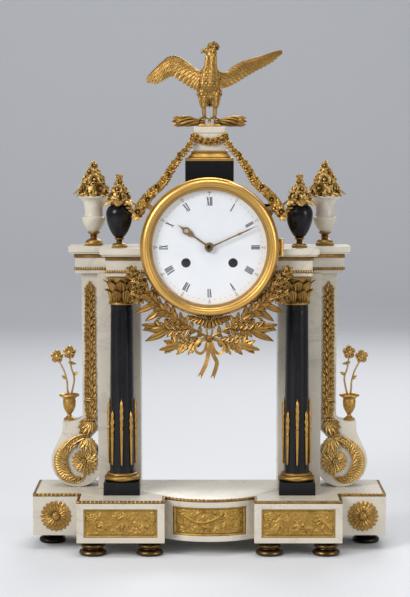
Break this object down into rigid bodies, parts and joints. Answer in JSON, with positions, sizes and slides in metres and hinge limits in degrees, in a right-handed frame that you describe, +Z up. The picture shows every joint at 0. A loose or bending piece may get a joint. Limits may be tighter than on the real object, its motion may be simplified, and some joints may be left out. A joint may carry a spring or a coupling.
{
  "type": "portico mantel clock",
  "caption": "Mantel clock as a marble portico: columns, scrolled consoles and urns on a bowed base carry a drum movement, gilt mounts and an eagle crest.",
  "frame": {"origin": "on the floor under the middle of the clock", "axes": "+X to the right as seen from the front, +Y to the back, +Z up; the dial faces -Y"},
  "size_m": [0.4, 0.126, 0.5744],
  "materials": {
    "white_marble": "polished",
    "black_marble": "polished",
    "gilt_bronze": "chased, partly burnished gilding",
    "brass": "satin",
    "steel": "satin",
    "dark_bronze": "dark patina",
    "enamel": "glossy enamel",
    "clear_glass": "clear"
  },
  "bodies": {
    "case": {"base_plinth": "white_marble", "base_edging": "gilt_bronze", "bun_feet": "dark_bronze", "left_plaque": "gilt_bronze", "centre_plaque": "gilt_bronze", "right_plaque": "gilt_bronze", "base_rosettes": "gilt_bronze", "piers": "white_marble", "left_console": "white_marble", "right_console": "white_marble", "left_console_foliage": "gilt_bronze", "right_console_foliage": "gilt_bronze", "left_column": "black_marble", "right_column": "black_marble", "column_plinths": "black_marble", "column_rings": "gilt_bronze", "column_spindles": "gilt_bronze", "left_capital": "gilt_bronze", "right_capital": "gilt_bronze", "left_entablature": "white_marble", "right_entablature": "white_marble", "entablature_bands": "gilt_bronze", "left_cornice": "white_marble", "right_cornice": "white_marble", "tie_rods": "steel", "white_urns": "white_marble", "black_urns": "black_marble", "urn_feet": "gilt_bronze", "white_bouquets": "gilt_bronze", "black_bouquets": "gilt_bronze", "side_vases": "gilt_bronze", "vase_flowers": "gilt_bronze", "crest_block": "black_marble", "crest_moulding": "gilt_bronze", "eagle_pedestal": "white_marble", "pedestal_swag": "gilt_bronze", "thunderbolt": "gilt_bronze", "eagle": "gilt_bronze", "left_garland": "gilt_bronze", "right_garland": "gilt_bronze", "drum_case": "brass", "dial": "enamel", "laurel_swag": "gilt_bronze", "ribbon_bow": "gilt_bronze", "movement_plates": "brass", "spring_barrels": "brass", "bell": "brass"},
    "bezel_door": {"bezel": "gilt_bronze", "dial_glass": "clear_glass"},
    "minute_set": {"minute_hand": "gilt_bronze", "centre_arbor": "steel"},
    "hour_set": {"hour_hand": "gilt_bronze", "hour_wheel": "brass"},
    "motion_set": {"minute_wheel": "brass"},
    "left_arbor": {"left_winding_arbor": "steel"},
    "right_arbor": {"right_winding_arbor": "steel"},
    "anchor_set": {"anchor": "steel"},
    "pendulum_set": {"pendulum": "brass"},
    "hammer_set": {"hammer": "steel"},
    "back_door": {"rear_door": "brass"}
  },
  "joints": [
    {"name": "bezel_open", "type": "hinge", "parent": "case", "child": "bezel_door", "pos_m": [0.08, -0.0449, 0.3454], "axis": [0, 0, 1], "range_deg": [0, 105]},
    {"name": "minute_turn", "type": "hinge", "parent": "case", "child": "minute_set", "pos_m": [0, -0.0363, 0.3454], "axis": [0, 1, 0], "continuous": true},
    {"name": "hour_turn", "type": "hinge", "parent": "case", "child": "hour_set", "pos_m": [0, -0.04, 0.3454], "axis": [0, 1, 0], "continuous": true},
    {"name": "motion_turn", "type": "hinge", "parent": "case", "child": "motion_set", "pos_m": [0.006, -0.0381, 0.33501], "axis": [0, 1, 0], "continuous": true},
    {"name": "left_winding", "type": "hinge", "parent": "case", "child": "left_arbor", "pos_m": [-0.026, -0.0363, 0.3282], "axis": [0, 1, 0], "range_deg": [0, 1800]},
    {"name": "right_winding", "type": "hinge", "parent": "case", "child": "right_arbor", "pos_m": [0.026, -0.0363, 0.3282], "axis": [0, 1, 0], "range_deg": [0, 1800]},
    {"name": "pendulum_swing", "type": "hinge", "parent": "case", "child": "pendulum_set", "pos_m": [0, 0.0095, 0.3914], "axis": [0, 1, 0], "range_deg": [-5, 5]},
    {"name": "anchor_rock", "type": "hinge", "parent": "case", "child": "anchor_set", "pos_m": [0, -0.0013, 0.3914], "axis": [0, 1, 0], "range_deg": [-5, 5]},
    {"name": "hammer_lift", "type": "hinge", "parent": "case", "child": "hammer_set", "pos_m": [-0.042, -0.0013, 0.3194], "axis": [0, -1, 0], "range_deg": [0, 14]},
    {"name": "back_open", "type": "hinge", "parent": "case", "child": "back_door", "pos_m": [0.075, 0.0535, 0.3454], "axis": [0, 0, -1], "range_deg": [0, 110]}
  ],
  "couplings": [
    {"joint": "hour_turn", "follows": "minute_turn", "ratio": 0.083333},
    {"joint": "motion_turn", "follows": "minute_turn", "ratio": -0.33333},
    {"joint": "anchor_rock", "follows": "pendulum_swing", "ratio": 1}
  ]
}
